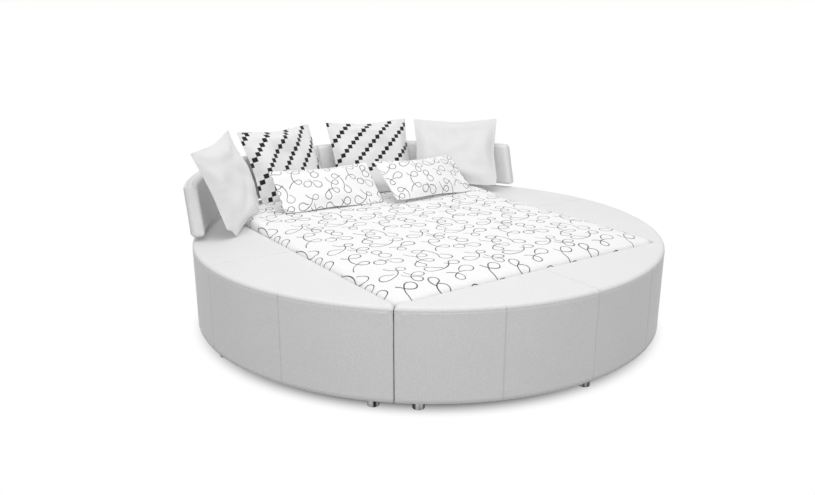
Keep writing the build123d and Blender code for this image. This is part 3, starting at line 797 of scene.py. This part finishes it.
def cloth_material(name, colours, pitch, relief, sheen, rough, on_panel, print_group=None):
    """Woven cloth: threads, soft creases, a little sheen and, if given, a print."""
    material, tree, shader = new_material(name)
    source = add_node(tree, "TexCoord")
    place = source.outputs["UV" if on_panel else "Object"]
    weave = weave_relief(tree, place, pitch)
    crumple = add_noise(tree, place, 9.0, 4.0, 0.8)
    slubs = add_noise(tree, place, 260.0, 2.0)
    crumpled = add_bump(tree, shader, crumple, relief, 0.6)
    add_bump(tree, shader, weave, 0.0002, 0.35, crumpled)
    vary_roughness(tree, shader, slubs, rough - 0.06, rough + 0.06)
    shade = maths(tree, "MULTIPLY_ADD", slubs, 0.6, maths(tree, "MULTIPLY", weave, 0.4))
    dyed = mix_colours(tree, shade, colours, shader.inputs["Base Color"])
    shader.inputs["Sheen Weight"].default_value = sheen
    shader.inputs["Sheen Roughness"].default_value = 0.5
    shader.inputs["Specular IOR Level"].default_value = 0.25
    if print_group is not None:
        inked = add_node(tree, "Group")
        inked.node_tree = print_group
        tree.links.new(place, inked.inputs[0])
        over = add_node(tree, "Mix", data_type="RGBA")
        tree.links.new(inked.outputs["Ink"], over.inputs[0])
        tree.links.new(dyed, over.inputs["A"])
        tree.links.new(inked.outputs["Colour"], over.inputs["B"])
        tree.links.new(over.outputs["Result"], shader.inputs["Base Color"])
    return material


ticking_colours = ((0.80, 0.80, 0.78), (0.88, 0.88, 0.86))
ticking = cloth_material("ticking", ticking_colours, 0.0022, 0.0006, 0.1, 0.85, False)
along = spread(0, 1, 1 / 90)
up = spread(0, 1, 1 / 100)
lower = [(0.02, mattress_bottom), (0.006, mattress_bottom + 0.004), (0.0, mattress_bottom + 0.012)]
lower += [(0.0, level) for level in spread(mattress_bottom + 0.016, mattress_top - 0.03, 0.0045)]
edge = mattress_edge - mattress_inset
rings = round_over(lower, mattress_top, edge, mattress_inset, mattress_corner, along, up)
mattress = build_shell("mattress_block", rings, len(along) - 1, len(up) - 1, True)
press_shape(mattress, mattress_push)
let_edges_sink(mattress)
mattress.data.materials.append(ticking)
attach(mattress, "mattress")
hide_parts("mattress")

# Bedspread: white cotton with a loose line print, hemmed all round. It lies over the mattress
# and its sides are pushed down between the mattress and the modules.
bedspread_top = 0.565
bedspread_drop = 0.09
bedspread_edge = 0.034
print_scale = 1.22
stroke_tile = 0.42
stroke_count = 9
stroke_clearance = 0.013
stroke_tries = 60
pen_width = 0.0056
pen_blur = 0.0004


def draw_bends(pen):
    """Two or three loops, each after a wider bend, and a last wide bend. A bend is a radius,
    positive to the left, and a turn in degrees."""
    bends = []
    side = pen.choice((1, -1))
    for _ in range(pen.choice((2, 2, 3))):
        bends.append((round(side * pen.uniform(0.05, 0.11), 3), pen.randrange(45, 85, 5)))
        bends.append((round(side * pen.uniform(0.019, 0.028), 3), pen.randrange(225, 280, 5)))
        if pen.random() < 0.75:
            side = -side
    bends.append((round(side * pen.uniform(0.04, 0.09), 3), pen.randrange(40, 90, 5)))
    return bends


def looped_line(start, heading, bends):
    """Arcs that follow on from each other, as centre, radius, middle direction and half angle."""
    (x, y), angle = start, radians(heading)
    arcs = []
    for radius, turn in bends:
        swept, side = radians(turn), 1 if radius > 0 else -1
        centre = (x - sin(angle) * radius, y + cos(angle) * radius)
        arcs.append((centre, abs(radius), angle + side * swept / 2 - side * pi / 2, swept / 2))
        angle += side * swept
        x, y = centre[0] + sin(angle) * radius, centre[1] - cos(angle) * radius
    return arcs


def points_along(arcs, step=0.004):
    """Points a step apart on each arc."""
    points = []
    for (x, y), radius, middle, half in arcs:
        count = max(2, int(2 * half * radius / step))
        for i in range(count + 1):
            angle = middle - half + 2 * half * i / count
            points.append((x + radius * cos(angle), y + radius * sin(angle)))
    return numpy.array(points)


def distance_to(points, others):
    """Each point's distance from the nearest of the others, where the print repeats in squares."""
    square = 0.0
    for axis in (0, 1):
        away = points[:, None, axis] - others[None, :, axis]
        away -= stroke_tile * numpy.round(away / stroke_tile)
        square = square + away**2
    return numpy.sqrt(square.min(1))


def crosses_often(points, bends):
    """Whether a stroke comes near itself more than its loops need."""
    order = numpy.arange(len(points))
    apart = numpy.hypot(*(points[:, None, axis] - points[None, :, axis] for axis in (0, 1)))
    near_itself = (apart < 0.009) & (abs(order[:, None] - order[None, :]) > 14)
    return near_itself.sum() / 2 > 9 * (len(bends) - 1)


def too_close(points, drawn):
    """Whether a stroke comes too near to those drawn before it; a few points are tried at a time."""
    if not len(drawn):
        return False
    return any(distance_to(points[first::8], drawn).min() < stroke_clearance for first in range(8))


def scatter_strokes():
    """Strokes that keep clear of each other. Each begins in the barest place, and of its tries
    the one is kept that leaves the least bare cloth."""
    pen = random.Random(12)
    line = (numpy.arange(84) + 0.5) * stroke_tile / 84
    cloth = numpy.stack([side.ravel() for side in numpy.meshgrid(line, line)], 1)
    bare = numpy.full(len(cloth), 9.0)
    drawn = numpy.empty((0, 2))
    strokes = []
    while len(strokes) < stroke_count:
        barest = cloth[int(bare.argmax())] if strokes else cloth[0]
        best = None
        for _ in range(stroke_tries):
            start = [round(value + pen.uniform(-0.05, 0.05), 3) for value in barest]
            heading = pen.randrange(0, 360, 5)
            bends = draw_bends(pen)
            arcs = looped_line(start, heading, bends)
            points = points_along(arcs)
            if too_close(points, drawn) or crosses_often(points, bends):
                continue
            left_bare = numpy.minimum(bare, distance_to(cloth, points))
            score = (left_bare**2).sum()
            if best is None or score < best[0]:
                best = (score, arcs, points, left_bare)
        if best is None:
            bare[int(bare.argmax())] *= 0.5
            continue
        strokes.append(best[1])
        drawn = numpy.concatenate((drawn, best[2]))
        bare = best[3]
    return strokes


def start_print(name):
    """A node group that gives the ink and its colour for a place on the cloth."""
    group = bpy.data.node_groups.new(name, "ShaderNodeTree")
    group.interface.new_socket("Place", in_out="INPUT", socket_type="NodeSocketVector")
    group.interface.new_socket("Ink", in_out="OUTPUT", socket_type="NodeSocketFloat")
    group.interface.new_socket("Colour", in_out="OUTPUT", socket_type="NodeSocketColor")
    return group, group.nodes.new("NodeGroupInput"), group.nodes.new("NodeGroupOutput")


def line_print_group():
    """Loose looping pen lines, which repeat in squares all over the cloth."""
    group, given, result = start_print("line_print")
    wobble = add_noise(group, given.outputs[0], 7.0, 2.0)
    half_tile = (stroke_tile * print_scale / 2, stroke_tile * print_scale / 2, 1)
    nearest = None
    for centre, radius, middle, half in [arc for stroke in scatter_strokes() for arc in stroke]:
        away = add_node(group, "VectorMath", operation="SUBTRACT", in_1=Vector((*centre, 0)) * print_scale)
        join(group, given, away)
        nearby = add_node(group, "VectorMath", operation="WRAP", in_1=half_tile)
        nearby.inputs[2].default_value = [-value for value in half_tile]
        join(group, away, nearby)
        length = add_node(group, "VectorMath", operation="LENGTH")
        join(group, nearby, length)
        facing = add_node(group, "VectorMath", operation="DOT_PRODUCT", in_1=(cos(middle), sin(middle), 0))
        join(group, nearby, facing)
        from_arc = maths(group, "SUBTRACT", length.outputs["Value"], radius * print_scale)
        limit = maths(group, "MULTIPLY", length.outputs["Value"], cos(half))
        beyond = maths(group, "LESS_THAN", facing.outputs["Value"], limit)
        gap = maths(group, "ADD", maths(group, "ABSOLUTE", from_arc), beyond)
        nearest = gap if nearest is None else maths(group, "MINIMUM", nearest, gap)
    width = maths(group, "MULTIPLY_ADD", wobble, pen_width * 0.8, pen_width * 0.1)
    ink = add_node(group, "MapRange", interpolation_type="SMOOTHSTEP", in_3=1.0, in_4=0.0)
    group.links.new(nearest, ink.inputs[0])
    group.links.new(maths(group, "SUBTRACT", width, pen_blur), ink.inputs[1])
    group.links.new(maths(group, "ADD", width, pen_blur), ink.inputs[2])
    group.links.new(ink.outputs[0], result.inputs["Ink"])
    mix_colours(group, wobble, ((0.008, 0.008, 0.009), (0.12, 0.12, 0.125)), result.inputs["Colour"])
    return group


def bedspread_push(at, normal):
    """Small waves on top, never above its level, and creases down the sides."""
    if normal.z > 0.9:
        wave = 0.0022 * billow(at, 2.6, 1.0) + 0.0011 * billow(at, 8.0, 6.0)
        return min(wave - 0.0012, 0.0)
    return 0.0016 * ripple((at.x + at.y) * 9, (at.x - at.y) * 9, at.z * 5, 2.2)


def lay_flat_map(piece, rings):
    """Maps the cloth in metres as it lay flat, its sides folded out from the top."""
    count = len(rings[0])
    flat = [vert.co.xy for vert in piece.data.vertices]
    for station in range(count):
        way_out = (rings[-rounding_steps - 1][station] - rings[-1][station]).xy.normalized()
        length = 0.0
        for level in range(len(rings) - 2, -1, -1):
            length += (rings[level][station] - rings[level + 1][station]).length
            flat[level * count + station] = rings[-1][station].xy + way_out * length
    layer = piece.data.uv_layers.new(name="cloth")
    for loop in piece.data.loops:
        layer.data[loop.index].uv = flat[loop.vertex_index]


line_print = line_print_group()
cotton_whites = (grey(0.88), grey(0.91))
printed_cotton = cloth_material(
    "printed_cotton", cotton_whites, 0.0011, 0.0012, 0.1, 0.8, True, line_print
)
along = spread(0, 1, 1 / 110)
up = spread(0, 1, 1 / 120)
hem = bedspread_top - bedspread_drop
side_levels = [(0.0022, hem + 0.022), (0.002, hem + 0.002), (0.001, hem), (0.0, hem + 0.002)]
side_levels += [(0.0, level) for level in spread(hem + 0.008, bedspread_top - bedspread_edge - 0.006, 0.008)]
rings = round_over(side_levels, bedspread_top, bedspread_edge, 0.0, mattress_corner, along, up)
bedspread = build_shell("bedspread_cloth", rings, len(along) - 1, len(up) - 1)
lay_flat_map(bedspread, rings)
press_shape(bedspread, bedspread_push)
let_edges_sink(bedspread)
bedspread.data.materials.append(printed_cotton)
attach(bedspread, "mattress")
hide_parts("bedspread")

# Cushions: two panels of cotton sewn together round their edge and stuffed. They lean loosely on
# the headboard and on each other: square ones behind, long pillows in the print before them.
panel_grid = 0.0125
seam_ease = (1.05, 1.06)
filling_frames = 26
filling_share = 0.58
lies_above = 0.0004
base_level = base_top + 0.0005
square_kind = (0.64, 0.566, 0.14, 0.02)
small_kind = (0.715, 0.365, 0.12, 0.01)
middle_kind = (0.42, 0.235, 0.10, 0.01)
# Each kind is width, height, thickness and how far its sides draw in. Each cushion has its kind,
# its bearing from the head end and distance before the headboard, its turn, tilt and roll, and
# its cloth.
cushion_list = {
    "left_cushion": (square_kind, (-57.0, 0.228), (137.3, 20.3, 4.5), "plain"),
    "left_square_cushion": (square_kind, (-17.0, 0.203), (103, 27.5, -0.3), "squares"),
    "right_square_cushion": (square_kind, (16.6, 0.198), (75, 28.5, 0.8), "squares"),
    "right_cushion": (square_kind, (47.6, 0.300), (53, 34.5, 0.5), "plain"),
    "left_pillow": (small_kind, (-28.6, 0.672), (84, 50, 0), "printed"),
    "right_pillow": (small_kind, (43.0, 0.690), (97, 50, -3.5), "printed"),
    "middle_pillow": (middle_kind, (10.6, 0.513), (90, 52, 0), "plain"),
}
# The share of its fullness that a cushion's back keeps and how far its lower corners are pushed
# in, as a rule and for the one cushion that is pressed otherwise.
usual_press = (0.7, 0.015)
press_of = {"left_cushion": (0.3, 0.06)}


def sew_panels(name, kind, seed, closer):
    """Two panels joined round their edge, with the panels' own metres as the map.
    Also gives each point's place on its panel, from -1 to 1 both ways."""
    width, height, thickness = (kind[0] * seam_ease[0], kind[1] * seam_ease[1], kind[2])
    across, rise = round(width / panel_grid), round(height / panel_grid)
    mapped = (kind[0] * closer / across, kind[1] * closer / rise)
    verts, faces, maps, index, shares = [], [], [], {}, []
    for side in (1, -1):
        for j in range(rise + 1):
            for i in range(across + 1):
                if side < 0 and (i in (0, across) or j in (0, rise)):
                    index[side, i, j] = index[1, i, j]
                    continue
                index[side, i, j] = len(verts)
                s, t = 2 * i / across - 1, 2 * j / rise - 1
                shares.append((s, t))
                crown = 0.22 * thickness * (1 - s**2) * (1 - t**2)
                x, y = s * width / 2, t * height / 2
                uneven = 0.004 * noise.noise(Vector((x * 14 + seed, y * 14, side * 5)))
                verts.append((x, y, side * crown + uneven * (1 - s**8) * (1 - t**8)))
        for j in range(rise):
            for i in range(across):
                cells = ((i, j), (i + 1, j), (i + 1, j + 1), (i, j + 1))
                if side < 0:
                    cells = tuple(reversed(cells))
                faces.append([index[(side, *cell)] for cell in cells])
                for x, y in cells:
                    maps += [x * mapped[0] + seed * 0.13 + side * 0.9, y * mapped[1] + seed * 0.21]
    piece = add_piece(name, verts, faces)
    piece.data.uv_layers.new(name="panel").data.foreach_set("uv", maps)
    return piece, shares


def stuff(piece, kind):
    """Fills the sewn case until it holds its filling's volume."""
    cloth = piece.modifiers.new("filling", "CLOTH")
    cloth.point_cache.frame_end = filling_frames
    cloth.collision_settings.use_collision = False
    case = cloth.settings
    case.quality = 5
    case.mass = 0.2
    case.tension_stiffness = 30
    case.compression_stiffness = 30
    case.shear_stiffness = 6
    case.bending_stiffness = 0.5
    case.tension_damping = 8
    case.compression_damping = 8
    case.shear_damping = 6
    case.bending_damping = 1
    case.air_damping = 2
    case.use_pressure = True
    case.uniform_pressure_force = 0
    case.use_pressure_volume = True
    case.target_volume = filling_share * kind[0] * kind[1] * kind[2]
    case.pressure_factor = 8
    case.effector_weights.gravity = 0


def plump(mesh, shares, kind, back, blunt, seed):
    """Draws the stuffed case's outline most of the way to its sewn one, scales its thickness,
    presses its back flatter and its lower corners blunt, and gathers its cloth along the seam."""
    width, height, thickness, draw_in = kind
    shape = bmesh.new()
    shape.from_mesh(mesh)
    inner = [v for v, (s, t) in zip(shape.verts, shares) if max(abs(s), abs(t)) < 0.9]
    all_axes = {"use_axis_x": True, "use_axis_y": True, "use_axis_z": True}
    for _ in range(16):
        bmesh.ops.smooth_vert(shape, verts=inner, factor=0.5, **all_axes)
    points = [v.co.copy() for v in shape.verts]
    shape.free()
    depth = max(p.z for p in points) - min(p.z for p in points)
    outline_share, rim_thinning, gather_height, gather_pitch = 0.85, 0.85, 0.007, 20
    corner_from = 0.7
    for point, (s, t) in zip(points, shares):
        point.x += outline_share * (s * (width / 2 - draw_in * (1 - t * t)) - point.x)
        point.y += outline_share * (t * (height / 2 - draw_in * (1 - s * s)) - point.y)
        rim = max(abs(s), abs(t)) ** 8
        point.z *= thickness / depth * (1 - rim_thinning * rim)
        if point.z < 0:
            point.z *= back
        along_side = max(abs(s) - 0.5, 0) / 0.5
        along_end = max(abs(t) - 0.5, 0) / 0.5
        slant = (t * height + s * width * 0.3) * gather_pitch
        gather = along_side * noise.noise(Vector((s * 2, slant, seed + 4)))
        gather += along_end * noise.noise(Vector((s * width * gather_pitch, t * 2, seed + 9)))
        point.z += gather_height * gather * (1 - s**6) * (1 - t**6)
        corner = max(abs(s) - corner_from, 0) * max(-t - corner_from, 0) / (1 - corner_from) ** 2
        point.x -= blunt * corner * s
        point.y += blunt * corner
    return points


def settle(piece, name, shares, kind, place, lean, seed):
    """Leans the stuffed case on what stands behind it, its lower edge on what it rests on."""
    mesh = piece.data
    turn, tilt, roll = (radians(value) for value in lean)
    out = Vector((cos(turn), sin(turn), 0))
    across = Vector((sin(turn), -cos(turn), 0))
    rise = Vector((0, 0, 1)) * cos(tilt) + out * sin(tilt)
    rolled = across * cos(roll) + rise * sin(roll)
    face = across.cross(rise)
    upright = face.cross(rolled)
    angle, set_back = place
    reach = headboard_inner - set_back
    foot = Vector((reach * sin(radians(angle)), reach * cos(radians(angle)), base_level))
    middle = foot + rise * kind[1] / 2
    points = plump(mesh, shares, kind, *press_of.get(name, usual_press), seed)
    placed = [middle + rolled * q.x + upright * q.y + face * q.z for q in points]
    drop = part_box(name)[0].z - min(p.z for p in placed)
    for vert, p in zip(mesh.vertices, placed):
        p.z += drop
        on_bed = abs(p.x) < mattress_half_width + 0.005 and abs(p.y) < mattress_half_length + 0.005
        p.z = max(p.z, bedspread_top + lies_above if on_bed else base_level)
        vert.co = p
    mesh.update()


def squares_print_group():
    """Black squares that meet at their corners and run up in slanting chains."""
    group, given, result = start_print("squares_print")
    split = add_node(group, "SeparateXYZ")
    join(group, given, split)
    square, chain_spacing = 0.033, 5
    column = maths(group, "FLOOR", maths(group, "DIVIDE", split.outputs[0], square))
    row = maths(group, "FLOOR", maths(group, "DIVIDE", split.outputs[1], square))
    step = maths(group, "FLOORED_MODULO", maths(group, "SUBTRACT", column, row), chain_spacing)
    group.links.new(maths(group, "LESS_THAN", step, 0.5), result.inputs["Ink"])
    fleck = add_noise(group, given.outputs[0], 400.0, 2.0)
    mix_colours(group, fleck, ((0.004, 0.004, 0.005), (0.02, 0.02, 0.022)), result.inputs["Colour"])
    return group


satin_cotton = cloth_material("satin_cotton", (grey(0.73), grey(0.79)), 0.0009, 0.0014, 0.25, 0.55, True)
pillow_cotton = cloth_material("pillow_cotton", cotton_whites, 0.0011, 0.0014, 0.1, 0.8, True, line_print)
squares_print = squares_print_group()
squares_cotton = cloth_material(
    "squares_cotton", (grey(0.79), grey(0.84)), 0.0012, 0.0014, 0.15, 0.75, True, squares_print
)
cushion_finish = {
    "plain": ("plain_cloth", satin_cotton),
    "squares": ("squares_cloth", squares_cotton),
    "printed": ("printed_cotton", pillow_cotton),
}
cases, panel_shares = {}, {}
pillow_print_closeness = 1.3
for seed, (name, (kind, place, lean, finish)) in enumerate(cushion_list.items()):
    closer = pillow_print_closeness if finish == "printed" else 1.0
    cases[name], panel_shares[name] = sew_panels(name + "_case", kind, seed * 3.3, closer)
    stuff(cases[name], kind)
for frame_number in range(1, filling_frames + 1):
    scene.frame_set(frame_number)
stuffed = bpy.context.evaluated_depsgraph_get()
filled = {}
for name, case in cases.items():
    filled[name] = bpy.data.meshes.new_from_object(case.evaluated_get(stuffed))
scene.frame_set(1)
for seed, (name, (kind, place, lean, finish)) in enumerate(cushion_list.items()):
    case = cases[name]
    case.modifiers.clear()
    case.data = filled[name]
    settle(case, name, panel_shares[name], kind, place, lean, seed * 5.7)
    case.data.materials.append(cushion_finish[finish][1])
    rounder = case.modifiers.new("rounder", "SUBSURF")
    rounder.levels = 1
    rounder.render_levels = 1
    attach(case, name + "_body")
    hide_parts(name)
